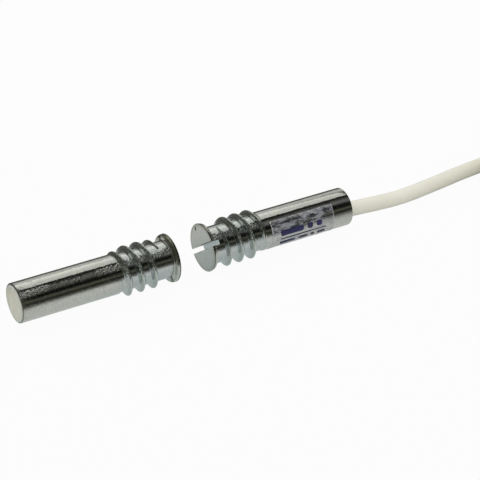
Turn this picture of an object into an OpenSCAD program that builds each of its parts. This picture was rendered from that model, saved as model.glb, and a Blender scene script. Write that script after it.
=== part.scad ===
// Two-part magnetic contact for doors and windows: a reed switch unit with its cable,
// and a magnet unit, each in a threaded and slotted plated housing that is screwed flush
// into a bored hole.
// X runs from the magnet unit to the switch unit, Z is up. The origin is on the surface that
// the flanges rest on, under the middle of the gap between the two flanges.

/* [Housings] */
// Diameter of the plain tube of each unit
tube_d = 8; // [7:0.5:12]
// Wall of the tube round the bore
tube_wall = 0.6; // [0.5:0.1:0.8]
// Length of each unit, from the flange's face to the tail
unit_len = 33.6; // [32:0.2:60]
// How far the flange stands out beyond the tube
flange_lip = 1; // [0.6:0.1:2]
// Thickness of the flange
flange_t = 0.8; // [0.6:0.1:1.2]
// Bevel on both edges of the flange
flange_bevel = 0.12; // [0.05:0.01:0.25]
// Solid front end of the housing, slot included
nose_t = 3; // [2.6:0.1:5]
// Bevel round the tail
tail_bevel = 0.25; // [0.1:0.05:0.4]
// Width of the screwdriver slot
slot_w = 1; // [0.8:0.1:1.6]
// Depth of the screwdriver slot
slot_depth = 2.1; // [1:0.1:2.2]

/* [Thread] */
// Pitch of the coarse thread
pitch = 2.8; // [2:0.1:3.2]
// Step from the plain tube down to the root of the thread
root_step = 0.18; // [0.16:0.01:0.3]
// Height of the ridge above its root
ridge_h = 1.1; // [0.6:0.05:1.3]
// Width of the ridge at its root
ridge_w = 1.6; // [1:0.1:1.9]
// Distance from the flange's face to the start of the ridge
thread_start = 3.1; // [3:0.1:5]
// Number of turns, run-in and run-out included
thread_turns = 3.35; // [2:0.05:5]
// Part of a turn over which the ridge rises at its start
run_in = 0.3; // [0.1:0.05:0.6]
// Part of a turn over which the ridge fades at its end
run_out = 0.5; // [0.1:0.05:0.8]
// Angle from the slot to the start of the ridge
thread_clock = 120; // [0:5:355]

/* [Arrangement] */
// Gap between the two flanges
air_gap = 7.6; // [6.5:0.1:15]
// Roll of the switch unit about its own axis
switch_roll = -36; // [-180:1:180]
// Roll of the magnet unit about its own axis
magnet_roll = -56; // [-180:1:180]

/* [Reed switch] */
// Diameter of the glass capsule
glass_d = 2.2; // [2:0.1:2.4]
// Length of the glass capsule
glass_len = 14; // [12:0.5:15]
// Wall of the glass capsule
glass_wall = 0.35; // [0.2:0.05:0.4]
// Length of the fused seal at each end of the capsule
seal_len = 1.6; // [1:0.1:2]
// Diameter of the blades' round leads
lead_d = 0.5; // [0.4:0.05:0.6]
// Length of each lead outside the glass
lead_out = 2.2; // [2:0.1:2.4]
// Width of the flattened blade
blade_w = 1.1; // [0.8:0.05:1.2]
// Thickness of the flattened blade
blade_t = 0.2; // [0.1:0.02:0.2]
// Gap between the open contacts
contact_gap = 0.1; // [0.06:0.01:0.14]
// Length over which the blades overlap
blade_overlap = 1; // [0.6:0.1:1.6]
// Space between the housing's front end and the front lead
front_space = 1.2; // [0.6:0.1:1.6]
// Play round a lead, where the blade bends in its seal and its solder
lead_play = 0.03; // [0.02:0.01:0.05]
// Length over which a round lead is pressed flat into its blade
swage_len = 0.8; // [0.4:0.1:1.2]

/* [Inner pieces] */
// Radial clearance of what is seated in the bore
seat_gap = 0.05; // [0.02:0.01:0.1]
// Wall of the insulating liner
liner_wall = 0.3; // [0.2:0.05:0.4]
// Length of the potting round the cable
potting_len = 4.6; // [3:0.1:5.5]
// Depth of the potting's face inside the tail
potting_recess = 0.5; // [0.1:0.1:1]
// Length of the tamper loop's two cores between their joint and the cable's jacket
tamper_len = 4.1; // [2:0.1:6]
// Diameter of an insulated core
core_d = 0.95; // [0.7:0.05:0.98]
// Diameter of a core's bared strand
strand_d = 0.44; // [0.3:0.02:0.5]
// Distance between the cores' centres
core_pitch = 1; // [0.98:0.01:1.1]
// Diameter of a soldered joint
solder_d = 0.84; // [0.8:0.02:0.86]
// Length of a soldered joint
solder_len = 1.2; // [0.8:0.1:1.4]
// Distance between the reed's rear joint and the tamper loop's joint
splice_space = 0.5; // [0.3:0.1:1]
// Diametral play of the bar magnet in its bore
magnet_play = 0.2; // [0.1:0.05:0.6]
// Length of the bar magnet
magnet_len = 25; // [15:0.5:28]
// Depth of the magnet unit's plug inside the tail
plug_recess = 0.1; // [0:0.05:0.5]

/* [Label] */
// Thickness of the label's film
label_t = 0.06; // [0.04:0.01:0.2]
// Distance from the end of the thread to the label
label_start = 1.6; // [0.5:0.1:3]
// Length of the label along the tube
label_len = 14.8; // [8:0.1:16]
// Angle round the tube at which the label starts
label_from = 130; // [90:1:180]
// Angle that the label covers
label_turn = 120; // [60:1:300]

/* [Cable] */
// Diameter of the cable
cable_d = 3.2; // [2.8:0.1:3.3]
// Distance of the cable below the tube's axis where it leaves the potting
cable_drop = 1.1; // [0.8:0.05:1.3]
// Length of the hank's runs, between its folds
hank_run = 64; // [48:1:70]
// Radius of the innermost folds, to the middle of the cable
fold_r = 9.6; // [8:0.2:12]
// Turns side by side in each layer of the hank
hank_wide = 2; // [1:1:3]
// Layers of the hank
hank_layers = 5; // [3:1:6]
// Width of the tie round the hank's waist
tie_w = 2.5; // [2:0.1:4]
// Thickness of the tie's strap
tie_t = 0.5; // [0.3:0.1:0.8]
// Length of the bared cores at the far end
end_core_len = 12; // [8:1:20]
// Length of the tinned tips
tip_len = 4; // [2:0.5:8]

/* [Hidden] */

$fn = 48;
tube_r = tube_d / 2;
bore_r = tube_r - tube_wall;
root_r = tube_r - root_step;
flange_r = tube_r + flange_lip;
axis_z = flange_r;
face_x = air_gap / 2;
thread_end = thread_start + pitch * thread_turns;
// How far a cutter runs past what it cuts
past = 1;

// Steps of the ridge in one turn, and how deep its foot is sunk in the wall
ridge_steps = 30;
ridge_foot = 0.3;
// The ridge starts and ends this part of its height below the root, so that it fades in
ridge_dip = 0.08;
// Where it fades, the ridge keeps at least this part of its width
ridge_narrow = 0.35;
// Half of the ridge's rounded top: distance from its middle and height, as parts of the whole
ridge_outline = [[0.25, 0.62], [0.11, 0.92], [0, 1]];

lead_tip_x = nose_t + front_space;
glass_x = lead_tip_x + lead_out;
glass_mid = glass_x + glass_len / 2;
lead_r = lead_d / 2;
core_r = core_d / 2;
strand_r = strand_d / 2;
solder_inset = 0.2;
rear_solder_x = glass_x + glass_len + lead_out - solder_inset - solder_len;
potting_x = unit_len - potting_recess - potting_len;
splice_x = rear_solder_x + solder_len + splice_space;
jacket_x = splice_x + solder_len + tamper_len;
// How far a strand runs into its solder, and the play round it
strand_in = 1.1;
strand_play = 0.02;
// Bare strand between its solder and the core's insulation, and how far it sits in the insulation
strand_bare = 0.1;
strand_root = 0.2;
// Space between the seal in the glass and the start of the blade's flat part
blade_space = 0.1;
liner_space = 0.1;
liner_x = nose_t + liner_space;
liner_r = bore_r - seat_gap;
// The liner runs up to the potting
liner_len = potting_x - seat_gap - liner_x;

// The cores' places round the cable's centre, seen along the unit
return_yz = [core_pitch / 2, -cable_drop - core_pitch / 2];
signal_yz = [-core_pitch / 2, -cable_drop - core_pitch / 2];
tamper_a_yz = [-core_pitch / 2, -cable_drop + core_pitch / 2];
tamper_b_yz = [core_pitch / 2, -cable_drop + core_pitch / 2];

cable_r = cable_d / 2;
cord_sides = 8;
cable_z = axis_z - cable_drop;
// Points that the cable follows from the tail to its hank: how far behind the tail, how far to
// the side, and how high above where it comes to lie
lead_route = [[3.6, -0.2, 2.2], [8.6, -0.3, 1.9], [13.6, 0.1, 1.4], [18.6, 1.1, 0.9],
    [23.6, 2.3, 0.5], [28.6, 3.4, 0.2], [33.6, 4.3, 0.1], [38.6, 5, 0], [43.6, 5.5, 0],
    [48.6, 5.8, 0], [51.6, 5.8, 0]];
lead_points = concat([[face_x + jacket_x, 0, cable_z],
    [face_x + unit_len - potting_recess, 0, cable_z]],
    [for (p = lead_route) p + [face_x + unit_len, 0, cable_r]]);
// The hank lies in line with the unit. Its turns start at the end of these points.
hank_half = hank_run / 2;
hank_out = (hank_wide - 1) * cable_d;
hank_pos = lead_points[len(lead_points) - 1] + [hank_half, -fold_r - hank_out, 0];
hank_h = hank_layers * cable_d;
// Half width of the hank at its waist, where its two runs lie side by side
waist_w = cable_r + hank_out + cable_r;
waist_half = tie_w / 2 + 1;
// Steps along a run and round a fold, and the share of half a run that the runs stay together
run_steps = 16;
fold_steps = 12;
hole_from = 0.2;
tie_play = 0.05;
// Depth, width and height of the tie's head, and the stub of strap that sticks out of it
tie_head = [2.6, 4.2, 3.8];
tie_stub = 1.5;
// The far end of the cable leaves the top layer this far before the fold, comes down round it
// and lies beside the hank
tail_before = 4;
tail_straight = 16;
tail_turn = 185;
tail_steps = 20;
tail_beside = cable_d + 0.2;
tail_r = fold_r + hank_out + tail_beside;
tail_arc = tail_r * tail_turn * PI / 180;
tail_len = tail_before + tail_arc + tail_straight;
// Lengths over which it moves out from the hank and comes down
tail_out_len = 18;
tail_down = [2, 68];
// Steps along a bared core, the first and the last of which are straight
fan_steps = 6;
// Sideways spread of the two inner cores, and what the outer two add
fan_spread = 2.2;
fan_outer = 1.6;

function unit(v) = v / norm(v);
function smooth(t) = t * t * (3 - 2 * t);
function clamp(t) = max(0, min(1, t));

// Direction of a route at one of its points
function route_dir(p, i) = unit(p[min(i + 1, len(p) - 1)] - p[max(i - 1, 0)]);

// Ring of points square to the route
function route_ring(p, i, r, sides) =
    let (d = route_dir(p, i), side = unit(cross(d, [0, 0, 1])), up = cross(side, d))
    [for (k = [0 : sides - 1]) let (a = 360 * (k + 0.5) / sides)
        p[i] + r * (cos(a) * side + sin(a) * up)];

// Triangles between rings that follow one another, with a flat cap on each end
function ring_faces(rings, sides) = concat(
    [[for (k = [0 : sides - 1]) k]],
    [for (i = [0 : rings - 2], k = [0 : sides - 1])
        let (a = i * sides + k, b = i * sides + (k + 1) % sides) [a, a + sides, b]],
    [for (i = [0 : rings - 2], k = [0 : sides - 1])
        let (a = i * sides + k, b = i * sides + (k + 1) % sides) [b, a + sides, b + sides]],
    [[for (k = [sides - 1 : -1 : 0]) (rings - 1) * sides + k]]);

module swept_tube(p, r, sides) {
    points = [for (i = [0 : len(p) - 1], q = route_ring(p, i, r, sides)) q];
    polyhedron(points, ring_faces(len(p), sides), convexity = 10);
}

// Cylinder along X
module rod(x, r, length) {
    translate([x, 0, 0]) rotate([0, 90, 0]) cylinder(r = r, h = length);
}

// Cylinder along X whose axis passes through y and z
module rod_at(yz, x, r, length) {
    translate([0, yz[0], yz[1]]) rod(x, r, length);
}

// Solid of revolution about X, from an outline of radius and distance
module turned(outline) {
    rotate([90, 0, 90]) rotate_extrude() polygon(outline);
}

module place_switch(roll = 0) {
    translate([face_x, 0, axis_z]) rotate([roll, 0, 0]) children();
}

module place_magnet(roll = 0) {
    translate([-face_x, 0, axis_z]) rotate([0, 0, 180]) rotate([roll, 0, 0]) children();
}

// Height of the ridge after a number of turns, as a part of its full height
function ridge_rise(t) = -ridge_dip + (1 + ridge_dip)
    * sin(90 * clamp(min(t / run_in, (thread_turns - t) / run_out)));

// Outline of the ridge across its run: from its foot in the wall, up one flank and down the
// other. The flank crosses the root half a ridge's width from the middle.
ridge_slope = (1 / 2 - ridge_outline[0][0]) / ridge_outline[0][1];
ridge_half = concat([[1 / 2 + ridge_slope * ridge_foot / ridge_h, -ridge_foot / ridge_h]],
    ridge_outline);
ridge_section = concat(ridge_half,
    [for (i = [len(ridge_half) - 2 : -1 : 0]) [-ridge_half[i][0], ridge_half[i][1]]]);

// One cross-section of the ridge, in the half plane at its angle
function ridge_ring(t) =
    let (rise = ridge_rise(t), width = max(ridge_narrow, clamp(rise)), a = thread_clock + 360 * t)
    [for (q = ridge_section)
        let (r = root_r + ridge_h * (q[1] > 0 ? q[1] * rise : q[1]))
        [thread_start + pitch * t + q[0] * ridge_w * width, r * cos(a), r * sin(a)]];

module thread_ridge() {
    rings = ceil(thread_turns * ridge_steps) + 1;
    points = [for (i = [0 : rings - 1], q = ridge_ring(thread_turns * i / (rings - 1))) q];
    polyhedron(points, ring_faces(rings, len(ridge_section)), convexity = 20);
}

module housing_body() {
    turned([[0, 0],
        [flange_r - flange_bevel, 0], [flange_r, flange_bevel],
        [flange_r, flange_t - flange_bevel], [flange_r - flange_bevel, flange_t],
        [root_r, flange_t], [root_r, thread_end],
        [tube_r, thread_end + root_step],
        [tube_r, unit_len - tail_bevel], [tube_r - tail_bevel, unit_len],
        [0, unit_len]]);
}

// Housing with its axis along X, its flange's face at 0 and its slot along Y
module housing() {
    difference() {
        union() {
            housing_body();
            thread_ridge();
        }
        rod(nose_t, bore_r, unit_len);
        translate([-past, -flange_r - past, -slot_w / 2])
            cube([slot_depth + past, 2 * (flange_r + past), slot_w]);
    }
}

module switch_housing() {
    color([0.74, 0.75, 0.73]) place_switch(switch_roll) housing();
}

module magnet_housing() {
    color([0.74, 0.75, 0.73]) place_magnet(magnet_roll) housing();
}

module insulating_liner() {
    color([0.25, 0.27, 0.3]) place_switch() difference() {
        rod(liner_x, liner_r, liner_len);
        rod(liner_x - past, liner_r - liner_wall, liner_len + 2 * past);
    }
}

module reed_glass() {
    inner_r = glass_d / 2 - glass_wall;
    neck_r = lead_r + lead_play;
    shoulder = glass_wall;
    color([0.55, 0.75, 0.6, 0.5]) place_switch() turned([
        [neck_r, glass_x], [glass_d / 2 - shoulder, glass_x],
        [glass_d / 2, glass_x + shoulder],
        [glass_d / 2, glass_x + glass_len - shoulder],
        [glass_d / 2 - shoulder, glass_x + glass_len], [neck_r, glass_x + glass_len],
        [neck_r, glass_x + glass_len - seal_len],
        [inner_r, glass_x + glass_len - seal_len - shoulder],
        [inner_r, glass_x + seal_len + shoulder], [neck_r, glass_x + seal_len]]);
}

// Part of the flat blade, from one place to another
module blade_flat(x, end) {
    translate([x, -blade_w / 2, -contact_gap / 2 - blade_t]) cube([end - x, blade_w, blade_t]);
}

// Blade with its lead, from the outer tip to the end of the flat part
module reed_blade() {
    swage_x = glass_x + seal_len + blade_space;
    flat_x = swage_x + swage_len;
    rod(lead_tip_x, lead_r, swage_x - lead_tip_x);
    hull() {
        rod(swage_x - blade_space, lead_r, blade_space, $fn = 24);
        blade_flat(flat_x, flat_x + blade_space);
    }
    blade_flat(flat_x, glass_mid + blade_overlap / 2);
}

module reed_blade_front() {
    color([0.8, 0.72, 0.45]) place_switch() reed_blade();
}

module reed_blade_rear() {
    color([0.8, 0.72, 0.45]) place_switch()
        translate([glass_mid, 0, 0]) rotate([0, 180, 0]) translate([-glass_mid, 0, 0]) reed_blade();
}

// Bead of solder between two places, with room for a lead or a strand in each
module solder(x, a, b, hole_a, hole_b) {
    color([0.78, 0.79, 0.8]) place_switch() difference() {
        hull() {
            rod_at(a, x, solder_d / 2, solder_len, $fn = 32);
            rod_at(b, x, solder_d / 2, solder_len, $fn = 32);
        }
        rod_at(a, x - past, hole_a, solder_len + 2 * past);
        rod_at(b, x - past, hole_b, solder_len + 2 * past);
    }
}

module solder_front() {
    solder(lead_tip_x + solder_inset, [0, 0], return_yz, lead_r + lead_play,
        strand_r + strand_play);
}

module solder_rear() {
    solder(rear_solder_x, [0, 0], signal_yz, lead_r + lead_play, strand_r + strand_play);
}

module tamper_splice() {
    solder(splice_x, tamper_a_yz, tamper_b_yz, strand_r + strand_play, strand_r + strand_play);
}

// Insulated core from the cable's jacket to just behind a bead of solder
module core(yz, solder_x) {
    start = solder_x + solder_len + strand_bare;
    place_switch() {
        rod_at(yz, start, core_r, jacket_x - start);
        rod_at(yz, start - strand_bare - strand_in, strand_r,
            strand_in + strand_bare + strand_root);
    }
}

module core_return() {
    color("white") core(return_yz, lead_tip_x + solder_inset);
}

module core_signal() {
    color("saddlebrown") core(signal_yz, rear_solder_x);
}

module core_tamper_a() {
    color("seagreen") core(tamper_a_yz, splice_x);
}

module core_tamper_b() {
    color("gold") core(tamper_b_yz, splice_x);
}

module rear_potting() {
    color([0.86, 0.86, 0.8]) place_switch() difference() {
        rod(potting_x, bore_r - seat_gap, potting_len);
        rod_at([0, -cable_drop], potting_x - past, cable_r + seat_gap, potting_len + 2 * past);
    }
}

module label_film() {
    color([0.6, 0.62, 0.75, 0.6]) place_switch(label_from)
        rotate([90, 0, 90]) rotate_extrude(angle = label_turn)
            translate([tube_r, thread_end + label_start]) square([label_t, label_len]);
}

module bar_magnet() {
    color([0.5, 0.5, 0.52]) place_magnet() rod(nose_t, bore_r - magnet_play / 2, magnet_len);
}

module magnet_plug() {
    color([0.8, 0.8, 0.72]) place_magnet()
        rod(nose_t + magnet_len, bore_r - seat_gap, unit_len - plug_recess - nose_t - magnet_len);
}

module cable_lead() {
    color([0.93, 0.93, 0.9]) swept_tube(lead_points, cable_r, cord_sides);
}

// How far the hank's innermost run lies from its middle line
function run_y(x) = cable_r + (fold_r - cable_r)
    * smooth(clamp((abs(x) - waist_half) / (hank_half - waist_half)));

// Point of a run, moved square to it by some distance
function run_point(x, out) =
    let (slope = (run_y(x + past / 10) - run_y(x - past / 10)) / (past / 5))
    [x, run_y(x)] + out * unit([-slope, 1]);

function fold_point(a, out) = [hank_half, 0] + (fold_r + out) * [cos(a), sin(a)];

// Outline of the hank at some distance from the middle of its innermost turn
function hank_outline(out) =
    let (half = concat(
        [for (i = [0 : run_steps]) run_point(hank_half * (2 * i / run_steps - 1), out)],
        [for (i = [1 : fold_steps - 1]) fold_point(90 - 180 * i / fold_steps, out)]))
    concat(half, -half);

// Outline of the loop inside a fold, at some distance from the same line
function loop_outline(out) =
    let (run = [for (i = [0 : fold_steps])
        run_point(hank_half * (hole_from + (1 - hole_from) * i / fold_steps), out)])
    concat(run, [for (i = [1 : fold_steps - 1]) fold_point(90 - 180 * i / fold_steps, out)],
        [for (i = [fold_steps : -1 : 0]) [run[i][0], -run[i][1]]]);

module place_hank() {
    translate([hank_pos[0], hank_pos[1], 0]) children();
}

module cable_hank() {
    color([0.93, 0.93, 0.9]) place_hank() difference() {
        linear_extrude(hank_h) polygon(hank_outline(hank_out + cable_r));
        for (turn = [0, 180]) rotate([0, 0, turn])
            translate([0, 0, -past]) linear_extrude(hank_h + 2 * past)
                polygon(loop_outline(-cable_r));
        translate([-tie_w / 2, -waist_w - past, -past])
            cube([tie_w, 2 * (waist_w + past), past + tie_t]);
    }
}

// Across the waist, from one height up
module waist_box(grow, low) {
    translate([-waist_w - grow, low]) square([2 * (waist_w + grow), hank_h + grow - low]);
}

module hank_tie() {
    head_y = waist_w + tie_play;
    strap_w = tie_w - 2 * seat_gap;
    color([0.15, 0.15, 0.16]) place_hank() {
        rotate([90, 0, 90]) linear_extrude(strap_w, center = true) difference() {
            waist_box(tie_play + tie_t, 0);
            waist_box(tie_play, tie_t);
        }
        translate([-tie_head[1] / 2, head_y, (hank_h - tie_head[2]) / 2])
            cube([tie_head[1], tie_head[0], tie_head[2]]);
        translate([-strap_w / 2, head_y + tie_head[0] - 2 * tie_t, (hank_h + tie_head[2]) / 2])
            cube([strap_w, tie_t, tie_stub]);
    }
}

// Far end of the cable, seen from above: along the run, round the fold, and straight on
function tail_flat(d) =
    let (out = hank_out + tail_beside * smooth(clamp(d / tail_out_len)),
        a = 90 - clamp((d - tail_before) / tail_arc) * tail_turn,
        rest = max(0, d - tail_before - tail_arc))
    d < tail_before ? run_point(hank_half - tail_before + d, out)
        : fold_point(a, out) + rest * [sin(a), -cos(a)];
function tail_point(d) =
    let (down = smooth(clamp((d - tail_down[0]) / (tail_down[1] - tail_down[0]))), p = tail_flat(d))
    [hank_pos[0] + p[0], hank_pos[1] + p[1], cable_r + (hank_h - cable_d) * (1 - down)];
tail_points = [for (i = [0 : tail_steps]) tail_point(tail_len * i / tail_steps)];

module cable_tail() {
    color([0.93, 0.93, 0.9]) swept_tube(tail_points, cable_r, cord_sides);
}

// Bared core at the far end, fanned out from the jacket and lying on the surface
tail_dir = route_dir(tail_points, tail_steps);
tail_side = unit(cross(tail_dir, [0, 0, 1]));
// side and up are -1 or 1, for the core's place in the cable; the upper pair spreads further
function fan_route(side, up) = [for (i = [0 : fan_steps])
    let (out = smooth(clamp((i - 1) / (fan_steps - 2))),
        spread = fan_spread + (up > 0 ? fan_outer : 0))
    tail_points[tail_steps] + tail_dir * end_core_len * i / fan_steps
        + tail_side * side * (core_pitch / 2 + spread * out)
        + [0, 0, up * core_pitch / 2 * (1 - out * out) + (core_r - cable_r) * out * out]];

module end_core(side, up) {
    swept_tube(fan_route(side, up), core_r, cord_sides);
}

module end_core_white() {
    color("white") end_core(-1, -1);
}

module end_core_brown() {
    color("saddlebrown") end_core(1, -1);
}

module end_core_green() {
    color("seagreen") end_core(-1, 1);
}

module end_core_yellow() {
    color("gold") end_core(1, 1);
}

// Tinned tips that carry on from the bared cores
module strand_tips() {
    color([0.8, 0.8, 0.8]) for (side = [-1, 1], up = [-1, 1]) {
        tip = fan_route(side, up)[fan_steps];
        swept_tube([tip, tip + tail_dir * tip_len], strand_r, cord_sides);
    }
}

switch_housing();
insulating_liner();
reed_glass();
reed_blade_front();
reed_blade_rear();
solder_front();
solder_rear();
core_return();
core_signal();
core_tamper_a();
core_tamper_b();
tamper_splice();
rear_potting();
label_film();
cable_lead();
cable_hank();
cable_tail();
hank_tie();
end_core_white();
end_core_brown();
end_core_green();
end_core_yellow();
strand_tips();
magnet_housing();
bar_magnet();
magnet_plug();
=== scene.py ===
import math

import bmesh
import bpy
import numpy as np
from mathutils import Matrix, Vector


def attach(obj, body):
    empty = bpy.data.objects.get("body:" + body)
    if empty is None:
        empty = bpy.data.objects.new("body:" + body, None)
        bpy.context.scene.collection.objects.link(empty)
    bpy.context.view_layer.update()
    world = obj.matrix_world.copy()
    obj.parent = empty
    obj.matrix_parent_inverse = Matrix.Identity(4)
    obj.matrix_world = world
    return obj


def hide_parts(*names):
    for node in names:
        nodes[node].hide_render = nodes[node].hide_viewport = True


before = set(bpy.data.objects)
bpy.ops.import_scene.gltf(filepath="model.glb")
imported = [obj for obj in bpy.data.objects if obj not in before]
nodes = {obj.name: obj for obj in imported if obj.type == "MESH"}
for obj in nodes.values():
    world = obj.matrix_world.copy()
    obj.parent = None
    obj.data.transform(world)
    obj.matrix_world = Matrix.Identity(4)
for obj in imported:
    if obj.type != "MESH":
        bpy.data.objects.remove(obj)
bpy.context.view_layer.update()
MM = 0.001

# Sizes of the part, in millimetres, as in its CAD source. Only here are the cone of the
# flanges, the ribs of the tie's strap and the nick.
FACE_X, AXIS_Z, UNIT_LEN = 3.8, 5.0, 33.6
TUBE_R, BORE_R, ROOT_R, FLANGE_R = 4.0, 3.4, 3.82, 5.0
FLANGE_T, FLANGE_BEVEL, FLANGE_CONE, TAIL_BEVEL = 0.8, 0.12, 0.14, 0.25
NOSE_T, SLOT_W, SLOT_DEPTH = 3.0, 1.0, 2.1
PITCH, RIDGE_H, RIDGE_W = 2.8, 1.1, 1.6
THREAD_START, TURNS, RUN_IN, RUN_OUT, CLOCK, RIDGE_DIP = 3.1, 3.35, 0.3, 0.5, 120, 0.08
THREAD_END = THREAD_START + PITCH * TURNS
SWITCH_ROLL, MAGNET_ROLL = -36, -56
LABEL_X, LABEL_LEN, LABEL_T, LABEL_FROM, LABEL_TURN = THREAD_END + 1.6, 14.8, 0.06, 130, 120
CABLE_R, CABLE_DROP, CORE_R, CORE_PITCH, STRAND_R = 1.6, 1.1, 0.475, 1.0, 0.22
SEAT_GAP, POTTING_LEN, POTTING_RECESS, MAGNET_LEN, PLUG_RECESS = 0.02, 4.6, 0.5, 25.0, 0.1
HANK_HALF, HANK_OUT, HANK_H, FOLD_R = 32.0, 3.2, 16.0, 9.6
HANK_X, HANK_Y = FACE_X + UNIT_LEN + 51.6 + HANK_HALF, 5.8 - FOLD_R - HANK_OUT
WAIST_HALF, WAIST_W, TIE_W, TIE_T, TIE_PLAY = 2.25, 6.4, 2.5, 0.5, 0.05
RIB_STEP, RIB_DEPTH = 0.28, 0.07
TIE_HEAD, TIE_STUB = (2.6, 4.2, 3.8), 1.5
# The nick in the switch unit's face: its place, and the scale of its dark middle per millimetre
NICK_Y, NICK_Z, NICK_WIDTH, NICK_HEIGHT = 2.77, 8.04, 3.5, 1.95
WHITE = (1, 1, 1, 1)


def add(name, data):
    """New object in the scene."""
    obj = bpy.data.objects.new(name, data)
    bpy.context.scene.collection.objects.link(obj)
    return obj


# ---------------------------------------------------------------- camera

# Fitted to the outlines of both units in the photograph
camera = add("camera", bpy.data.cameras.new("camera"))
camera.data.sensor_width = 36
camera.data.lens = 137.83
camera.data.clip_start, camera.data.clip_end = 0.01, 20
camera.matrix_world = Matrix((
    (0.85867, 0.25552, -0.44429, -0.152699),
    (-0.51253, 0.42810, -0.74434, -0.276840),
    (0.0, 0.86686, 0.49856, 0.189639),
    (0, 0, 0, 1)))
bpy.context.scene.camera = camera


# ---------------------------------------------------------------- meshes

def smooth(t):
    """From 0 to 1 with a soft start and end."""
    t = min(max(t, 0), 1)
    return t * t * (3 - 2 * t)


def make(name, points, faces, material, sharp=35, scale=MM):
    """New object from points in millimetres, smooth but for edges sharper than an angle."""
    mesh = bpy.data.meshes.new(name)
    mesh.from_pydata([Vector(p) * scale for p in points], [], faces)
    mesh.shade_smooth()
    mesh.set_sharp_from_angle(angle=math.radians(sharp))
    mesh.materials.append(material)
    return add(name, mesh)


def rings_mesh(rings, closed_caps=True):
    """Points and faces of a skin over rings of equal size. The order of the points in a ring
    sets which side is out."""
    n, k = len(rings), len(rings[0])
    points = [p for ring in rings for p in ring]
    faces = [(i * k + j, i * k + (j + 1) % k, (i + 1) * k + (j + 1) % k, (i + 1) * k + j)
             for i in range(n - 1) for j in range(k)]
    if closed_caps:
        faces += [tuple(range(k))[::-1], tuple((n - 1) * k + j for j in range(k))]
    return points, faces


def tube_rings(path, radius, sides, twist=0.0, lobes=0, lobe=0.0):
    """Rings round a path in millimetres, plain or lobed like a twisted strand."""
    rings = []
    for i, p in enumerate(path):
        d = (Vector(path[min(i + 1, len(path) - 1)]) - Vector(path[max(i - 1, 0)])).normalized()
        side = d.cross(Vector((0, 0, 1))).normalized()
        up = side.cross(d)
        ring = []
        for j in range(sides):
            a = 2 * math.pi * j / sides
            r = radius * (1 + lobe * math.cos(lobes * a + twist * i)) if lobes else radius
            ring.append(Vector(p) + r * (math.cos(a) * side + math.sin(a) * up))
        rings.append(ring[::-1])
    return rings


def lathe(outline, segments=128):
    """Points and faces of an outline of (distance, radius), turned about X."""
    turns = [2 * math.pi * j / segments for j in range(segments)]
    return rings_mesh([[(x, r * math.cos(a), r * math.sin(a)) for a in turns]
                       for x, r in outline])


def arc(x, r, radius, start, end, steps):
    """Points of (distance, radius) round a corner, with angles in degrees."""
    turns = [math.radians(start + (end - start) * i / steps) for i in range(steps + 1)]
    return [(x + radius * math.cos(a), r + radius * math.sin(a)) for a in turns]


def place_switch(p, roll=0):
    """A point of the switch unit, from the unit's own frame to the shared one."""
    a = math.radians(roll)
    x, y, z = p
    return (FACE_X + x, y * math.cos(a) - z * math.sin(a),
            AXIS_Z + y * math.sin(a) + z * math.cos(a))


def place_magnet(p, roll=0):
    """The same for the magnet unit, which looks the other way."""
    x, y, z = place_switch(p, roll)
    return (-x, -y, z)


# ---------------------------------------------------------------- materials

def new_material(name, color, roughness, **more):
    """Principled material; further sockets by name, with _ for a space."""
    m = bpy.data.materials.new(name)
    m.use_nodes = True
    b = m.node_tree.nodes["Principled BSDF"]
    b.inputs["Base Color"].default_value = (*color, 1)
    b.inputs["Roughness"].default_value = roughness
    for k, v in more.items():
        b.inputs[k.replace("_", " ")].default_value = v
    return m


def node(m, kind, inputs=(), **props):
    """New node of a material or world; an input is a socket to link or a value."""
    n = m.node_tree.nodes.new(kind)
    for k, v in props.items():
        setattr(n, k, v)
    for k, v in dict(inputs).items():
        if isinstance(v, bpy.types.NodeSocket):
            m.node_tree.links.new(v, n.inputs[k])
        else:
            n.inputs[k].default_value = v
    return n


def link(m, out, name):
    """Link a socket to the material's own shader."""
    m.node_tree.links.new(out, m.node_tree.nodes["Principled BSDF"].inputs[name])


def coords(m, stretch=(1, 1, 1)):
    """A point's place on its piece, in metres, stretched or not."""
    t = node(m, "ShaderNodeTexCoord")
    return node(m, "ShaderNodeMapping", {"Vector": t.outputs["Object"],
                                         "Scale": stretch}).outputs[0]


def noise(m, where, scale, detail=3, rough=0.5):
    return node(m, "ShaderNodeTexNoise", {"Vector": where, "Scale": scale, "Detail": detail,
                                          "Roughness": rough}).outputs["Fac"]


def ramp(m, fac, stops):
    """Colour ramp; a stop is its place and its colour, or one number for a grey."""
    n = node(m, "ShaderNodeValToRGB", {"Fac": fac})
    e = n.color_ramp.elements
    while len(e) < len(stops):
        e.new(0.5)
    for s, (at, c) in zip(e, stops):
        s.position = at
        s.color = (*c, 1) if isinstance(c, tuple) else (c, c, c, 1)
    return n.outputs[0]


def span(m, value, low, high, to_low=0.0, to_high=1.0):
    """Takes one range to another and holds it there."""
    return node(m, "ShaderNodeMapRange", {"Value": value, "From Min": low, "From Max": high,
                                          "To Min": to_low, "To Max": to_high}).outputs[0]


def span_mm(m, value, low, high, to_low=0.0, to_high=1.0):
    """The same for a length that is given in millimetres."""
    return span(m, value, low * MM, high * MM, to_low, to_high)


def bump(m, height, strength, distance, normal=None):
    inputs = {"Height": height, "Strength": strength, "Distance": distance}
    if normal:
        inputs["Normal"] = normal
    return node(m, "ShaderNodeBump", inputs).outputs[0]


def maths(m, operation, *inputs):
    """Socket with the result for one number."""
    return node(m, "ShaderNodeMath", dict(enumerate(inputs)), operation=operation).outputs[0]


def times(m, *factors):
    """Their product."""
    out = factors[0]
    for factor in factors[1:]:
        out = maths(m, "MULTIPLY", out, factor)
    return out


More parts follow.
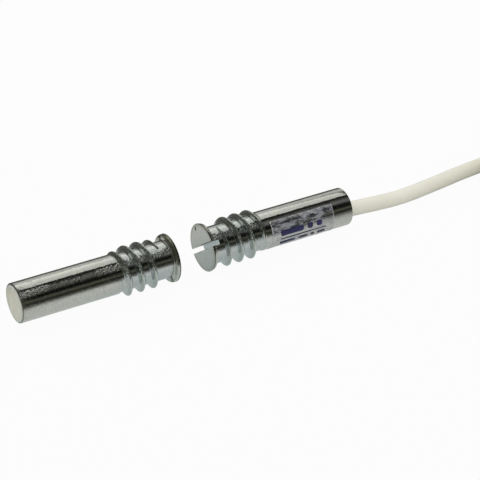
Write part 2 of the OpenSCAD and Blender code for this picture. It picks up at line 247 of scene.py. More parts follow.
def vector(m, operation, *inputs):
    """Sockets with the result for vectors: 0 is a vector, "Value" a number."""
    return node(m, "ShaderNodeVectorMath", dict(enumerate(inputs)), operation=operation).outputs


def mix(m, part, low, high, **props):
    """Colour between two others, of which each is a socket or four numbers."""
    return node(m, "ShaderNodeMix", {0: part, 6: low, 7: high}, data_type="RGBA",
                **props).outputs[2]


def nick_and_slot_edge_shade(m, where, off_axis, place):
    """How dark the switch unit's face is: a nick, and painted shade along the upper edge of its
    slot.
    """
    on_face = times(m, span_mm(m, place["X"], 0, 1),
                    span_mm(m, place["X"], FACE_X + 0.05, FACE_X + 0.12, 1, 0))
    roll, half = math.radians(SWITCH_ROLL), SLOT_W / 2
    across = vector(m, "DOT_PRODUCT", off_axis, (0, -math.sin(roll), math.cos(roll)))["Value"]
    # Painted reflection: a dark line along the slot's upper rounded edge
    edge = ramp(m, span_mm(m, across, half - 0.05, half + 0.35),
                [(0, 0), (0.12, 1), (0.42, 1), (0.6, 0)])
    edge = times(m, edge, span_mm(m, place["Y"], 0.4, 1.6, 1, 0))
    from_nick = vector(m, "MULTIPLY_ADD", where, (0, NICK_WIDTH / MM, NICK_HEIGHT / MM),
                       (0, -NICK_Y * NICK_WIDTH, -NICK_Z * NICK_HEIGHT))[0]
    nick = span(m, vector(m, "LENGTH", from_nick)["Value"], 0.7, 1.1, 1, 0)
    return times(m, on_face, maths(m, "MAXIMUM", edge, nick))


def plated_metal():
    """Zinc plate over a turned tube: orange peel on its upper side, fine drawn streaks, painted
    shade on the crests with a painted highlight along them, a dark painted rim on the flanges, a
    seam round the tail, painted shade on top of the magnet's flange and a painted cool sheen."""
    m = new_material("plated_housing", (0.6, 0.6, 0.58), 0.2, Metallic=1)
    where = coords(m)
    drawn = coords(m, (0.12, 1, 1))
    off_axis = vector(m, "MULTIPLY_ADD", where, (0, 1, 1), (0, 0, -AXIS_Z * MM))[0]
    radius = vector(m, "LENGTH", off_axis)["Value"]
    place = node(m, "ShaderNodeSeparateXYZ", {0: where}).outputs
    along = maths(m, "ABSOLUTE", place["X"])
    tail, thread_end = FACE_X + UNIT_LEN, FACE_X + THREAD_END

    # Colour, in layers that each darken or tint the one before
    tint = ramp(m, noise(m, where, 240, 4, 0.55),
                [(0.3, (0.57, 0.59, 0.58)), (0.5, (0.64, 0.64, 0.61)), (0.7, (0.6, 0.62, 0.62))])
    # Painted light by radius: painted shade over the upper ridges, a painted highlight along the
    # crest tops and a dark painted rim at the flanges' outer edge
    crest_painted_light = ramp(m, span_mm(m, radius, TUBE_R + 0.1, FLANGE_R),
                 [(0, 1), (0.35, (0.87, 0.89, 0.85)), (0.8, (0.81, 0.83, 0.78)),
                  (0.9, (1.1, 1.1, 1.08)), (0.94, 1), (0.965, (0.3, 0.3, 0.28))])
    mottle = ramp(m, noise(m, where, 2400, 3, 0.6), [(0.36, 0.9), (0.5, 1), (0.64, 1.07)])
    seam = ramp(m, span_mm(m, along, tail - 0.3, tail), [(0.45, 1), (0.6, 0.5)])
    flange = ramp(m, span_mm(m, along, FACE_X, FACE_X + 1),
                  [(0.05, 0), (0.2, 1), (0.85, 1), (0.95, 0)])
    # Painted shade: the upper side of the magnet's flange is darkened to olive
    flange_top_shade_mask = times(m, flange, span_mm(m, radius, TUBE_R + 0.1, TUBE_R + 0.5),
                 span_mm(m, place["Z"], 6.8, 8.4), span_mm(m, place["X"], -1, 0, 1, 0))
    painted_flange_shade = mix(m, flange_top_shade_mask, WHITE, (0.42, 0.42, 0.34, 1))
    face = span_mm(m, along, FACE_X + 0.02, FACE_X + 0.08, 0.9, 1)
    # Darkens a nick, and paints shade along the upper edge of the slot
    nick_and_edge_shade = mix(m, nick_and_slot_edge_shade(m, where, off_axis, place), WHITE, (0.05, 0.05, 0.05, 1))
    # Painted reflection: a faint blue tint over the flange and thread for the cool sheen they
    # mirror
    cool_sheen = ramp(m, span_mm(m, along, FACE_X, thread_end + 1),
                [(0.05, 1), (0.15, (0.96, 1, 1.05)), (0.85, (0.96, 1, 1.05)), (1, 1)])
    for layer in (crest_painted_light, mottle, seam, painted_flange_shade, face, nick_and_edge_shade, cool_sheen):
        tint = mix(m, 1.0, tint, layer, blend_type="MULTIPLY")
    link(m, tint, "Base Color")

    # Polish
    streaks = noise(m, drawn, 5200, 3, 0.6)
    link(m, span(m, streaks, 0.3, 0.7, 0.05, 0.13), "Roughness")

    # Relief: peel in patches on the upper side and on worn crests, none on the flange's face
    # and little on the switch unit's tube
    patchy = span(m, noise(m, where, 150, 3, 0.6), 0.4, 0.56, 0.4, 1.25)
    upper = ramp(m, span_mm(m, place["Z"], 6, 9.5),
                 [(0.42, 0.06), (0.49, 1), (0.6, 1), (0.7, 0.06)])
    worn = times(m, span_mm(m, radius, TUBE_R + 0.2, TUBE_R + 0.5, 0, 0.45),
                 span_mm(m, place["Z"], 5.8, 7.2))
    peel = span(m, noise(m, where, 1900, 2, 0.6), 0.4, 0.6)
    off_face = span_mm(m, along, FACE_X + 0.1, FACE_X + 0.4)
    even = span_mm(m, place["X"], thread_end, thread_end + 1, 1, 0.2)
    pits = times(m, peel, maths(m, "MAXIMUM", times(m, patchy, upper), worn), off_face, even)
    soft = bump(m, noise(m, where, 900, 2), 0.3, 0.00004)
    ground = bump(m, streaks, 0.3, 0.00001, soft)
    link(m, bump(m, pits, 1, 0.0001, ground), "Normal")
    return m


def cast_resin(name, color, dark):
    """Dull resin with pale and dark clouds."""
    m = new_material(name, color, 0.45, Subsurface_Weight=0.15, Subsurface_Scale=0.0005)
    where = coords(m)
    link(m, ramp(m, noise(m, where, 500, 4, 0.6), [(0.3, dark), (0.65, color)]), "Base Color")
    link(m, bump(m, noise(m, where, 1400, 3), 0.25, 0.00004), "Normal")
    link(m, span(m, noise(m, where, 900), 0.3, 0.7, 0.35, 0.55), "Roughness")
    return m


def jacket():
    """Off-white, smooth and slightly uneven."""
    m = new_material("cable_jacket", (0.86, 0.85, 0.75), 0.42, Subsurface_Weight=0.05,
                     Subsurface_Scale=0.0004)
    where = coords(m)
    link(m, ramp(m, noise(m, where, 160, 4),
                 [(0.3, (0.83, 0.815, 0.7)), (0.7, (0.88, 0.87, 0.765))]), "Base Color")
    link(m, bump(m, noise(m, where, 2600, 3), 0.15, 0.00002), "Normal")
    link(m, span(m, noise(m, where, 700), 0.3, 0.7, 0.36, 0.5), "Roughness")
    return m


def plain(name, color, dark, roughness, scale=900, strength=0.2, **more):
    """Moulded or drawn material with slight colour variation and a fine grain."""
    m = new_material(name, color, roughness, **more)
    where = coords(m)
    link(m, ramp(m, noise(m, where, scale * 0.4, 4), [(0.3, dark), (0.7, color)]), "Base Color")
    link(m, bump(m, noise(m, where, scale * 2, 3), strength, 0.00002), "Normal")
    link(m, span(m, noise(m, where, scale), 0.3, 0.7, roughness * 0.8, roughness * 1.2),
         "Roughness")
    return m


def clear_film(name, color, dark, low, high):
    """Clear film, hazy in streaks where it isn't quite stuck down."""
    m = plain(name, color, dark, 0.22, 2000, 0.6)
    haze = noise(m, coords(m, (0.35, 1, 1)), 1500, 3, 0.6)
    link(m, span(m, haze, 0.45, 0.6, low, high), "Alpha")
    return m


METAL = plated_metal()
PLUG = cast_resin("plug", (0.71, 0.71, 0.605), (0.57, 0.575, 0.48))
POTTING = cast_resin("potting", (0.74, 0.73, 0.65), (0.68, 0.67, 0.58))
JACKET = jacket()
FILM = clear_film("film", (0.62, 0.63, 0.68), (0.45, 0.46, 0.52), 0.05, 0.48)
FILM_EDGE = clear_film("film_edge", (0.7, 0.71, 0.74), (0.55, 0.56, 0.6), 0.35, 0.8)
INK = plain("label_ink", (0.014, 0.012, 0.075), (0.025, 0.022, 0.11), 0.5, 3000)
TIE = plain("tie", (0.03, 0.03, 0.032), (0.02, 0.02, 0.022), 0.42, 1500)
SOLDER = plain("solder", (0.66, 0.66, 0.67), (0.55, 0.55, 0.57), 0.28, 2200, 0.4, Metallic=1)
BLADE = plain("blade", (0.72, 0.6, 0.36), (0.62, 0.52, 0.33), 0.3, 2400, 0.15, Metallic=1)
GLASS = plain("glass", (0.72, 0.86, 0.76), (0.68, 0.83, 0.72), 0.05, 900, 0.05, IOR=1.5,
              Transmission_Weight=0.9)
LINER = plain("liner", (0.05, 0.055, 0.065), (0.035, 0.04, 0.05), 0.5, 1200)
MAGNET = plain("magnet", (0.32, 0.32, 0.33), (0.24, 0.24, 0.25), 0.42, 1800, 0.4, Metallic=1)
CORES = {
    "white": plain("core_white", (0.85, 0.85, 0.82), (0.8, 0.8, 0.76), 0.35),
    "brown": plain("core_brown", (0.13, 0.055, 0.02), (0.1, 0.04, 0.015), 0.35),
    "green": plain("core_green", (0.02, 0.17, 0.05), (0.015, 0.14, 0.04), 0.35),
    "yellow": plain("core_yellow", (0.78, 0.56, 0.03), (0.72, 0.5, 0.02), 0.35),
}
for name, m in (("insulating_liner", LINER), ("reed_glass", GLASS), ("reed_blade_front", BLADE),
                ("reed_blade_rear", BLADE), ("solder_front", SOLDER), ("solder_rear", SOLDER),
                ("tamper_splice", SOLDER), ("bar_magnet", MAGNET), ("core_return", CORES["white"]),
                ("core_signal", CORES["brown"]), ("core_tamper_a", CORES["green"]),
                ("core_tamper_b", CORES["yellow"]), ("rear_potting", POTTING),
                ("magnet_plug", PLUG), ("hank_tie", TIE), ("strand_tips", SOLDER),
                ("switch_housing", METAL), ("magnet_housing", METAL), ("label_film", FILM),
                ("cable_lead", JACKET), ("cable_hank", JACKET), ("cable_tail", JACKET),
                ("end_core_white", CORES["white"]), ("end_core_brown", CORES["brown"]),
                ("end_core_green", CORES["green"]), ("end_core_yellow", CORES["yellow"])):
    nodes[name].data.materials.clear()
    nodes[name].data.materials.append(m)


def wear(obj, body, cad):
    """The piece rides on a body and stands for a CAD node."""
    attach(obj, body)
    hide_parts(cad)


# ---------------------------------------------------------------- cable

# Way of the cable from the tail to the hank: past the tail, across, and over the floor
LEAD = [(3.6, -0.2, 2.2), (8.6, -0.3, 1.9), (13.6, 0.1, 1.4), (18.6, 1.1, 0.9), (23.6, 2.3, 0.5),
        (28.6, 3.4, 0.2), (33.6, 4.3, 0.1), (38.6, 5, 0), (43.6, 5.5, 0), (48.6, 5.8, 0),
        (51.6, 5.8, 0)]


def curve_through(points, step=1.5):
    """Evenly fine points on a smooth curve through the given ones."""
    p = [Vector(q) for q in points]
    p = [2 * p[0] - p[1]] + p + [2 * p[-1] - p[-2]]
    made = []
    for i in range(1, len(p) - 2):
        steps = max(1, round((p[i + 1] - p[i]).length / step))
        for j in range(steps):
            t = j / steps
            made.append(0.5 * (2 * p[i] + (p[i + 1] - p[i - 1]) * t
                               + (2 * p[i - 1] - 5 * p[i] + 4 * p[i + 1] - p[i + 2]) * t ** 2
                               + (3 * p[i] - p[i - 1] - 3 * p[i + 1] + p[i + 2]) * t ** 3))
    return made + [p[-2]]


def run_y(x):
    """How far the hank's innermost run lies from its middle line."""
    return CABLE_R + (FOLD_R - CABLE_R) * smooth((abs(x) - WAIST_HALF) / (HANK_HALF - WAIST_HALF))


def run_point(x, out):
    """A point of a run that lies further out by some way."""
    slope = (run_y(x + 0.1) - run_y(x - 0.1)) / 0.2
    return Vector((x, run_y(x))) + Vector((-slope, 1)).normalized() * out


RUN = [run_point(HANK_HALF * (i / 60 - 1), 0) for i in range(121)]
RUN_AT = np.cumsum([0] + [(b - a).length for a, b in zip(RUN, RUN[1:])]).tolist()
HALF_LAP = RUN_AT[-1] + math.pi * FOLD_R


def lap_point(lap, out):
    """Where a turn is after some laps from the start of the far run, seen from above."""
    d = (lap * 2 % 1) * HALF_LAP
    if d < RUN_AT[-1]:
        p = run_point(float(np.interp(d, RUN_AT, [q[0] for q in RUN])), out)
    else:
        a = math.pi / 2 - (d - RUN_AT[-1]) / FOLD_R
        p = Vector((HANK_HALF + (FOLD_R + out) * math.cos(a), (FOLD_R + out) * math.sin(a)))
    return p if lap * 2 % 2 < 1 else -p


EVENT = 0.077
# Where the turns change place: after how many laps, whether they move out or in, and up
CHANGES = [(n * (1 - EVENT), moves, climbs)
           for n, (moves, climbs) in enumerate(((-1, 0), (0, 1), (1, 0), (0, 1)) * 2, 1)]
CABLE_D, LIFT_REACH = 2 * CABLE_R, 12


def lifted(x, z):
    """The strap of the tie lies under the hank and lifts its turns a little."""
    return z + TIE_T * smooth(1 - (abs(x) - WAIST_HALF) / LIFT_REACH) * (1 - z / HANK_H)


def hank_point(lap):
    """Where the cable is after some laps of the hank."""
    out, z = HANK_OUT, CABLE_R
    for at, moves, climbs in CHANGES:
        part = smooth((lap - at) / EVENT)
        out += HANK_OUT * moves * part
        z += CABLE_D * climbs * part
    p = lap_point(lap, out)
    return Vector((HANK_X + p[0], HANK_Y + p[1], lifted(p[0], z)))


TAIL_BEFORE, TAIL_STRAIGHT, TAIL_TURN, TAIL_BESIDE = 4.0, 16.0, 185.0, 3.4
TAIL_ARC = (FOLD_R + HANK_OUT + TAIL_BESIDE) * math.radians(TAIL_TURN)
TAIL_OUT, TAIL_DOWN_FROM, TAIL_DOWN = 18, 2, 66


def tail_point(d):
    """Far end: leaves the top layer, comes down round the fold and lies beside the hank."""
    out = HANK_OUT + TAIL_BESIDE * smooth(d / TAIL_OUT)
    a = math.radians(90 - min(max((d - TAIL_BEFORE) / TAIL_ARC, 0), 1) * TAIL_TURN)
    if d < TAIL_BEFORE:
        p = run_point(HANK_HALF - TAIL_BEFORE + d, out)
    else:
        rest = max(0, d - TAIL_BEFORE - TAIL_ARC)
        p = Vector((HANK_HALF + (FOLD_R + out) * math.cos(a) + rest * math.sin(a),
                    (FOLD_R + out) * math.sin(a) - rest * math.cos(a)))
    z = CABLE_R + (HANK_H - CABLE_D) * (1 - smooth((d - TAIL_DOWN_FROM) / TAIL_DOWN))
    return Vector((HANK_X + p[0], HANK_Y + p[1], z))


HANK_STEPS, TAIL_STEPS = 720, 32
potting_end = FACE_X + UNIT_LEN - POTTING_RECESS
lead = curve_through([(potting_end - POTTING_LEN - 0.3, 0, AXIS_Z - CABLE_DROP),
                      (potting_end, 0, AXIS_Z - CABLE_DROP)]
                     + [(x + FACE_X + UNIT_LEN, y, z + CABLE_R) for x, y, z in LEAD])
laps = len(CHANGES) + (RUN_AT[-1] - TAIL_BEFORE) / HALF_LAP / 2
hank = [hank_point(laps * i / HANK_STEPS) for i in range(1, HANK_STEPS)]
tail_len = TAIL_BEFORE + TAIL_ARC + TAIL_STRAIGHT
tail = [tail_point(tail_len * i / TAIL_STEPS) for i in range(TAIL_STEPS + 1)]
cable_path = lead + hank + tail
cable = make("cable", *rings_mesh(tube_rings(cable_path, CABLE_R, 16)), JACKET, 60)
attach(cable, "switch_unit")
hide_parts("cable_lead", "cable_hank", "cable_tail")


def in_hank(x, y, z):
    """A point of the hank, from its own middle to the shared frame."""
    return (HANK_X + x, HANK_Y + y, z)


def box(shape, low, high, bevel, segments=3):
    """Box with rounded edges, added to a bmesh."""
    made = bmesh.ops.create_cube(shape, size=1)["verts"]
    for v in made:
        v.co = Vector([(a + b) / 2 + c * (b - a) for a, b, c in zip(low, high, v.co)])
    edges = list({e for v in made for e in v.link_edges})
    bmesh.ops.bevel(shape, geom=edges, offset=bevel, segments=segments, profile=0.5,
                    affect="EDGES")


def strap_line(wide, low, high, corner):
    """Points round the hank's waist, each with its way out: across, up, and both again."""
    path = []
    for cy, cz, start in ((wide - corner, high - corner, 0), (corner - wide, high - corner, 90),
                          (corner - wide, low + corner, 180), (wide - corner, low + corner, 270)):
        for i in range(7):
            a = math.radians(start + 15 * i)
            path.append((cy + corner * math.cos(a), cz + corner * math.sin(a),
                         math.cos(a), math.sin(a)))
    fine = []
    for (y0, z0, n0, m0), (y1, z1, n1, m1) in zip(path, path[1:] + path[:1]):
        steps = max(1, round(math.hypot(y1 - y0, z1 - z0) / RIB_STEP))
        for i in range(steps):
            t = i / steps
            n = Vector((n0 + (n1 - n0) * t, m0 + (m1 - m0) * t)).normalized()
            fine.append((y0 + (y1 - y0) * t, z0 + (z1 - z0) * t, n[0], n[1]))
    return fine


def tie():
    """Nylon strap with a ribbed outside, its head and the cut end that comes out of it."""
    wide, half = WAIST_W + TIE_PLAY, TIE_W / 2 - 2 * SEAT_GAP
    rings = []
    line = strap_line(wide, TIE_T, HANK_H + TIE_PLAY, corner=0.9)
    for i, (y, z, n, m) in enumerate(line):
        rib = TIE_T - (RIB_DEPTH if i % 2 else 0)
        section = [(-half, 0.08), (-half, TIE_T - 0.12), (-half + 0.12, TIE_T),
                   (-half + 0.4, TIE_T), (-half + 0.5, rib)]
        section += [(-x, r) for x, r in section[::-1]] + [(half - 0.08, 0), (-half + 0.08, 0)]
        rings.append([in_hank(x, y + n * r, z + m * r) for x, r in section])
    rings.append(rings[0])
    points, faces = rings_mesh(rings, closed_caps=False)
    shape = bmesh.new()
    deep, across, tall = TIE_HEAD
    back, z0, z1 = wide + deep, (HANK_H - tall) / 2, (HANK_H + tall) / 2
    box(shape, in_hank(-across / 2, wide, z0), in_hank(across / 2, back, z1), 0.45)
    box(shape, in_hank(-half, back - 2 * TIE_T, z1 - 1.2),
        in_hank(half, back - TIE_T, z1 + TIE_STUB), 0.1, 2)
    box(shape, in_hank(-half - 0.35, back - 1.55, z1 - 0.3),
        in_hank(half + 0.35, back - 0.25, z1 + 0.12), 0.15, 2)
    mesh = bpy.data.meshes.new("head")
    shape.to_mesh(mesh)
    shape.free()
    start = len(points)
    points += [tuple(v.co) for v in mesh.vertices]
    faces += [tuple(i + start for i in f.vertices) for f in mesh.polygons]
    return points, faces


TAIL_END, TAIL_WAY = cable_path[-1], (cable_path[-1] - cable_path[-2]).normalized()
TAIL_SIDE = TAIL_WAY.cross(Vector((0, 0, 1))).normalized()
END_CORE, TIP = 12.0, 4.0


def fanned(side, up, along):
    """A bared core's middle, some way from the end of the jacket."""
    out = smooth((along / END_CORE * 6 - 1) / 4)
    spread = 2.2 + (1.6 if up > 0 else 0)
    rise = up * CORE_PITCH / 2 * (1 - out * out) + (CORE_R - CABLE_R) * out * out
    return (TAIL_END + TAIL_WAY * along + TAIL_SIDE * side * (CORE_PITCH / 2 + spread * out)
            + Vector((0, 0, rise)))


def ended(path, radius, sides):
    """Tube with a slightly rounded far end."""
    rings = tube_rings(path, radius, sides)
    last = Vector(path[-1])
    rings.append([last + (p - last) * 0.86 + (last - Vector(path[-2])).normalized() * 0.05
                  for p in rings[-1]])
    return rings_mesh(rings)


on_cable = [make("tie_strap", *tie(), TIE, 35)]
wear(on_cable[0], "switch_unit", "hank_tie")
tips, tip_faces = [], []
for color, side, up in (("white", -1, -1), ("brown", 1, -1), ("green", -1, 1), ("yellow", 1, 1)):
    middle = [fanned(side, up, END_CORE * i / 30) for i in range(31)]
    on_cable.append(make("bared_" + color, *ended(middle, CORE_R, 16), CORES[color], 50))
    wear(on_cable[-1], "switch_unit", "end_core_" + color)
    strand = [middle[-1] + TAIL_WAY * TIP * i / 40 for i in range(41)]
    points, faces = rings_mesh(tube_rings(strand, STRAND_R, 24, 0.35, 6, 0.09))
    tip_faces += [tuple(i + len(tips) for i in f) for f in faces]
    tips += points
on_cable.append(make("tinned_tips", tips, tip_faces, SOLDER, 50))
wear(on_cable[-1], "switch_unit", "strand_tips")


# ---------------------------------------------------------------- housings

def rise(t):
    """Height of the thread's ridge after a number of turns, as in the CAD source."""
    part = min(max(min(t / RUN_IN, (TURNS - t) / RUN_OUT), 0), 1)
    return -RIDGE_DIP + (1 + RIDGE_DIP) * math.sin(math.pi / 2 * part)


def ridge_outline():
    """Half width and height of the ridge, as parts of the whole: round top, small fillets."""
    half = [(0.53, 0.0), (0.5, 0.012), (0.47, 0.05)]
    half += [(u, math.cos(math.pi * u) ** 1.38) for u in (0.43, 0.38, 0.32, 0.26, 0.2, 0.14, 0.07)]
    return [(0.53, -0.15)] + half + [(0, 1)] + [(-u, h) for u, h in half[::-1]] + [(-0.53, -0.15)]


def ridge():
    """The thread's ridge, in a unit's own frame."""
    rings = []
    count = round(TURNS * 72)
    outline = ridge_outline()
    for i in range(count + 1):
        t = TURNS * i / count
        high = rise(t)
        width = min(0.36 + 0.64 * smooth(t / 0.5), max(0.35, min(high, 1)) if t > 1 else 1)
        a = math.radians(CLOCK + 360 * t)
        ring = []
        for u, h in outline:
            r = ROOT_R + RIDGE_H * (h * high if h > 0 else h)
            ring.append((THREAD_START + PITCH * t + u * RIDGE_W * width,
                         r * math.cos(a), r * math.sin(a)))
        rings.append(ring)
    return rings_mesh(rings)


def turned_outline():
    """Half section of a housing, from its bore round the tail to the face of its flange."""
    b, c = FLANGE_BEVEL, TAIL_BEVEL
    outline = [(NOSE_T, 0.001), (NOSE_T, BORE_R), (UNIT_LEN - 0.08, BORE_R),
               (UNIT_LEN, BORE_R + 0.08)]
    outline += arc(UNIT_LEN - c, TUBE_R - c, c, 0, 90, 6)
    outline += [(x, TUBE_R) for x in np.linspace(UNIT_LEN - 2, THREAD_END + 2, 9)]
    outline += [(THREAD_END + 0.18, TUBE_R), (THREAD_END, ROOT_R)]
    outline += [(x, ROOT_R) for x in np.linspace(THREAD_END - 1, FLANGE_T + 0.35, 8)]
    outline += arc(FLANGE_T + 0.15, ROOT_R + 0.15, 0.15, 270, 180, 3)
    outline += arc(FLANGE_T - b, FLANGE_R - FLANGE_CONE - b, b, 0, 75, 4)
    outline += arc(b, FLANGE_R - b, b, 90, 180, 4)
    return outline + [(0, 4.2), (0, 3), (0, 1.5), (0, 0.001)]


def slotted(body):
    """Cuts the slot in the turned body, which goes, and gives the result as a bmesh."""
    cut = bpy.data.meshes.new("cutter")
    w, d = SLOT_W / 2, FLANGE_R + 1
    cut.from_pydata([(x, y, z) for x in (-1, SLOT_DEPTH) for y in (-d, d) for z in (-w, w)], [],
                    [(0, 1, 3, 2), (4, 6, 7, 5), (0, 4, 5, 1), (2, 3, 7, 6), (0, 2, 6, 4),
                     (1, 5, 7, 3)])
    cutter = add("cutter", cut)
    slot = body.modifiers.new("slot", "BOOLEAN")
    slot.object, slot.operation, slot.solver = cutter, "DIFFERENCE", "EXACT"
    done = body.evaluated_get(bpy.context.evaluated_depsgraph_get())
    shape = bmesh.new()
    shape.from_mesh(bpy.data.meshes.new_from_object(done))
    edges = [e for e in shape.edges
             if all(abs(v.co.x) < 1e-4 and abs(abs(v.co.z) - w) < 1e-4 for v in e.verts)]
    bmesh.ops.bevel(shape, geom=edges, offset=0.07, offset_type="OFFSET", segments=3,
                    profile=0.5, affect="EDGES")
    for o in (cutter, body):
        bpy.data.objects.remove(o)
    return shape


def housing(name, place, roll):
    """A unit's metal: turned body with its slot, and the thread's ridge on it."""
    shape = slotted(make("slotted", *lathe(turned_outline()), METAL, scale=1))
    points, faces = ridge()
    verts = [shape.verts.new(p) for p in points]
    for f in faces:
        shape.faces.new([verts[i] for i in f])
    for v in shape.verts:
        v.co = Vector(place(v.co, roll)) * MM
    bmesh.ops.recalc_face_normals(shape, faces=shape.faces)
    mesh = bpy.data.meshes.new(name)
    shape.to_mesh(mesh)
    shape.free()
    mesh.shade_smooth()
    mesh.set_sharp_from_angle(angle=math.radians(38))
    mesh.materials.clear()  # also sets every face to the first material
    mesh.materials.append(METAL)
    return add(name, mesh)


switch = housing("switch_shell", place_switch, SWITCH_ROLL)
magnet = housing("magnet_shell", place_magnet, MAGNET_ROLL)
wear(switch, "switch_unit", "switch_housing")
wear(magnet, "magnet_unit", "magnet_housing")


# ---------------------------------------------------------------- resin

def plug():
    """Resin that fills the magnet's tail and laps a little over its edge, unevenly."""
    end = UNIT_LEN - PLUG_RECESS
    wall = BORE_R - SEAT_GAP
    lip, top = TUBE_R - TAIL_BEVEL - 0.03, UNIT_LEN + 0.012
    outline = [(NOSE_T + MAGNET_LEN, 0.001), (NOSE_T + MAGNET_LEN, wall), (end - 1, wall),
               (end, wall), (top, BORE_R + 0.09), (top, lip), (top + 0.02, lip - 0.02),
               (top + 0.02, lip - 0.1), (top, BORE_R), (end + 0.05, wall - 0.2),
               (end, wall - 0.5), (end, 1.8), (end + 0.03, 0.8), (end + 0.04, 0.001)]
    points, faces = lathe(outline, 96)
    placed = []
    for x, y, z in points:
        a = math.atan2(z, y)
        uneven = 0.008 * (1 + math.sin(3 * a + 1)) + 0.006 * (1 + math.sin(11 * a))
        k = 1 - uneven * (x > end)
        placed.append(place_magnet((x, y * k, z * k)))
    return placed, faces


def potting():
    """Resin round the cable, drawn up a little where it meets the cable and the wall."""
    end, start = UNIT_LEN - POTTING_RECESS, UNIT_LEN - POTTING_RECESS - POTTING_LEN
    inner, wall = CABLE_R + SEAT_GAP, BORE_R - SEAT_GAP
    rings = []
    for out, x in ((1, start), (1, end), (0.985, end - 0.05), (0.95, end - 0.13),
                   (0.85, end - 0.19), (0.5, end - 0.2), (0.2, end - 0.18), (0.08, end - 0.12),
                   (0.02, end - 0.04), (0, end), (0, start), (1, start)):
        ring = []
        for j in range(96):
            a = 2 * math.pi * j / 96
            y, z = math.cos(a), math.sin(a)
            reach = z * CABLE_DROP + math.sqrt(wall ** 2 - CABLE_DROP ** 2 * y ** 2)
            r = inner + (reach - inner) * out
            ring.append(place_switch((x, r * y, r * z - CABLE_DROP)))
        rings.append(ring)
    return rings_mesh(rings, closed_caps=False)


wear(make("plug_face", *plug(), PLUG, 30), "magnet_unit", "magnet_plug")
wear(make("potting_face", *potting(), POTTING, 30), "switch_unit", "rear_potting")


# ---------------------------------------------------------------- label

# Faces of the film along it and round the tube, and how many from its edge are its margin
FILM_COLS, FILM_ROWS, FILM_MARGIN = 74, 80, 2
# Creases in the film: middle along it, degrees from its upper edge, half length, width, height
CREASES = [(9.6, 7, 2.4, 2.2, 0.035), (12.4, 15, 2.0, 2.0, 0.04), (7.0, 14, 1.4, 3.0, 0.03),
           (1.7, 15, 1.2, 2.5, 0.035), (2.1, 24, 1.3, 2.0, 0.025), (5.2, 6, 1.5, 2.0, 0.025),
           (13.4, 6, 1.6, 2.0, 0.03), (10.8, 22, 1.4, 1.8, 0.022), (4.0, 31, 1.6, 2.0, 0.018)]


def film_r(along, turn):
    """How far the film lies from the axis, some way along it and round from its upper edge."""
    r = TUBE_R + LABEL_T
    for middle, at, reach, width, lift in CREASES:
        r += lift * smooth(1 - abs(along - middle) / reach) * math.exp(-((turn - at) / width) ** 2)
    return r


def on_film(along, turn, r):
    """A point over the film, in the shared frame."""
    a = math.radians(LABEL_FROM + turn)
    return place_switch((LABEL_X + along, r * math.cos(a), r * math.sin(a)))


def film():
    """The film, creased, with a skirt down to the tube and a whiter margin."""
    alongs = [0] + [LABEL_LEN * i / FILM_COLS for i in range(FILM_COLS + 1)] + [LABEL_LEN]
    turns = [0] + [LABEL_TURN * j / FILM_ROWS for j in range(FILM_ROWS + 1)] + [LABEL_TURN]
    last_i, last_j = len(alongs) - 1, len(turns) - 1
    points, faces = [], []
    for i, along in enumerate(alongs):
        for j, turn in enumerate(turns):
            skirt = i in (0, last_i) or j in (0, last_j)
            points.append(on_film(along, turn, TUBE_R if skirt else film_r(along, turn)))
    for i in range(last_i):
        for j in range(last_j):
            k = i * len(turns) + j
            faces.append((k, k + len(turns), k + len(turns) + 1, k + 1))
    obj = make("film_sheet", points, faces, FILM, 60)
    obj.data.materials.append(FILM_EDGE)
    for n, f in enumerate(obj.data.polygons):
        i, j = divmod(n, last_j)
        if min(i, j, last_i - 1 - i, last_j - 1 - j) < FILM_MARGIN:
            f.material_index = 1
    return obj


# Plain bars of print: start and end along the film, middle in degrees, half height in mm
BARS = [(2.0, 7.4, 43, 0.6), (8.4, 9.6, 43, 0.6), (10.6, 11.8, 43, 0.6), (2.0, 12.8, 62, 0.1),
        (2.0, 5.6, 78, 0.34), (6.4, 8.6, 78, 0.34), (9.4, 10.2, 78, 0.34), (11.0, 12.8, 78, 0.34)]
INK_T = 0.012


def bars():
    """The print, just over the film, with rounded corners."""
    points, faces = [], []
    for start, end, middle, half in BARS:
        corner = min(half, (end - start) / 2) * 0.6
        ends = [corner * (1 - math.cos(math.pi / 2 * i / 4)) for i in range(5)]
        steps = max(2, round((end - start) / 0.4))
        inner = [start + corner + (end - start - 2 * corner) * i / steps for i in range(1, steps)]
        alongs = [start + e for e in ends] + inner + [end - e for e in ends[::-1]]
        base = len(points)
        for along in alongs:
            into = min(along - start, end - along, corner)
            high = half - corner + math.sqrt(max(0, corner ** 2 - (corner - into) ** 2))
            for k in range(5):
                turn = middle + math.degrees(high * (k / 2 - 1) / TUBE_R)
                points.append(on_film(along, turn, film_r(along, turn) + INK_T))
        for i in range(len(alongs) - 1):
            for k in range(4):
                q = base + i * 5 + k
                faces.append((q, q + 5, q + 6, q + 1))
    return points, faces


label = film()
wear(label, "switch_unit", "label_film")
printed = make("label_print", *bars(), INK, 60)
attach(printed, "switch_unit")


# ---------------------------------------------------------------- floor, light and background

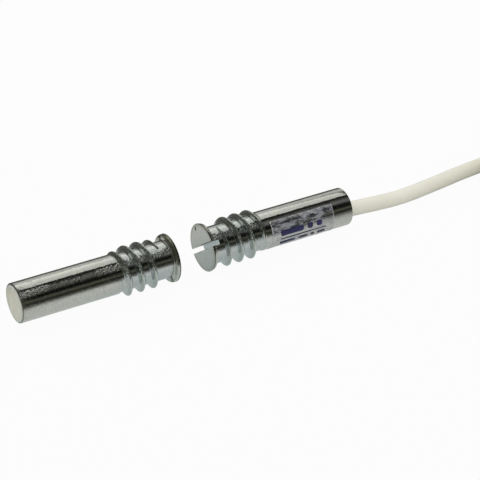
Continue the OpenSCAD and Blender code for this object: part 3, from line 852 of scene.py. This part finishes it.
def stage_material():
    """White to the camera with a trace of shadow. What mirrors it sees a pool of light that
    ends in the dark."""
    m = bpy.data.materials.new("floor")
    m.use_nodes = True
    m.node_tree.nodes.clear()
    path = node(m, "ShaderNodeLightPath").outputs
    seen = maths(m, "MULTIPLY_ADD", path["Is Glossy Ray"], 0.9,
                 times(m, path["Is Camera Ray"], 0.95))
    where = node(m, "ShaderNodeTexCoord").outputs["Object"]
    far = vector(m, "LENGTH", vector(m, "MULTIPLY", where, (0.45, 1, 1))[0])["Value"]
    pool = ramp(m, far, [(0.0, (0.5, 0.55, 0.54)), (0.007, (0.54, 0.59, 0.57)),
                         (0.014, (0.67, 0.68, 0.66)), (0.0185, (0.61, 0.62, 0.6)),
                         (0.0215, (0.48, 0.49, 0.47)), (0.025, (0.38, 0.39, 0.37)),
                         (0.033, (0.17, 0.18, 0.16)), (0.053, (0.055, 0.06, 0.045)),
                         (0.16, (0.03, 0.03, 0.02))])
    tone = mix(m, path["Is Glossy Ray"], WHITE, pool)
    paper = node(m, "ShaderNodeBsdfDiffuse", {"Color": (0.62, 0.62, 0.61, 1)}).outputs[0]
    white = node(m, "ShaderNodeEmission", {"Color": tone, "Strength": 1}).outputs[0]
    both = node(m, "ShaderNodeMixShader", {0: seen, 1: paper, 2: white}).outputs[0]
    node(m, "ShaderNodeOutputMaterial", {"Surface": both})
    return m


FLOOR = 3
floor = make("floor", [(-FLOOR, -FLOOR, 0), (FLOOR, -FLOOR, 0), (FLOOR, FLOOR, 0),
                       (-FLOOR, FLOOR, 0)], [(0, 1, 2, 3)], stage_material(), scale=1)

world = bpy.data.worlds.new("studio")
bpy.context.scene.world = world
world.use_nodes = True
world.node_tree.nodes.clear()
path = node(world, "ShaderNodeLightPath").outputs
way = node(world, "ShaderNodeSeparateXYZ",
           {0: node(world, "ShaderNodeTexCoord").outputs["Generated"]}).outputs
turn = maths(world, "ARCTAN2", way["Z"], times(world, way["Y"], -1.0))
# What the metal mirrors of the room: angle from the front horizon (0) over the top (90) to the
# horizon behind (180), and level
STUDIO = [(0, 0.015), (5, 0.025), (10, 0.03), (15, 0.075), (20, 0.095), (26, 0.03), (31, 0.004),
          (38, 0.004), (44, 0.01), (50, 0.04), (57, 0.12), (66, 0.2), (76, 0.09), (87, 0.015),
          (96, 0.01), (112, 0.02), (119, 0.1), (126, 0.25), (132, 0.22), (141, 0.5), (150, 0.64),
          (160, 0.62), (168, 0.28), (174, 0.12), (180, 0.1)]
# The same further left, which the front view meets in the thread and under the flanges only
BESIDE = [(0, 0.08), (30, 0.04), (46, 0.1), (60, 0.32), (72, 0.12), (92, 0.08), (104, 0.4),
          (130, 0.55), (148, 0.42), (162, 0.2), (180, 0.14)]
OLIVE = (0.09, 0.09, 0.07, 1)
OLIVE_UNTIL, WARM, COOL, ROOM = 50, 0.75, 0.94, (0.9, 0.9, 0.9, 1)


def studio(levels):
    """Colours of a curve, which is olive low in front."""
    return ramp(world, span(world, turn, 0, math.pi),
                [(a / 180, (v, v, v * (WARM if a < OLIVE_UNTIL else COOL))) for a, v in levels])


# From left to right: olive, BESIDE, a strip of olive, STUDIO
glossy = mix(world, span(world, way["X"], -0.6, -0.42), OLIVE, studio(BESIDE))
glossy = mix(world, span(world, way["X"], 0.02, 0.07), glossy, OLIVE)
glossy = mix(world, span(world, way["X"], 0.16, 0.26), glossy, studio(STUDIO))
level = mix(world, path["Is Glossy Ray"], ROOM, glossy)
clear = maths(world, "MAXIMUM", path["Is Camera Ray"], path["Is Transmission Ray"])
sky = node(world, "ShaderNodeBackground", {"Color": mix(world, clear, level, WHITE),
                                           "Strength": 1}).outputs[0]
node(world, "ShaderNodeOutputWorld", {"Surface": sky})

# Softbox over the part, which faces down and shows in the metal
lamp = add("softbox", bpy.data.lights.new("softbox", "AREA"))
lamp.location = (0.12, 0.165, 0.25)
lamp.data.shape, lamp.data.size, lamp.data.size_y = "RECTANGLE", 0.19, 0.27
lamp.data.energy, lamp.data.color = 0.112, (1, 1, 0.93)

bpy.context.scene.view_settings.view_transform = "Standard"
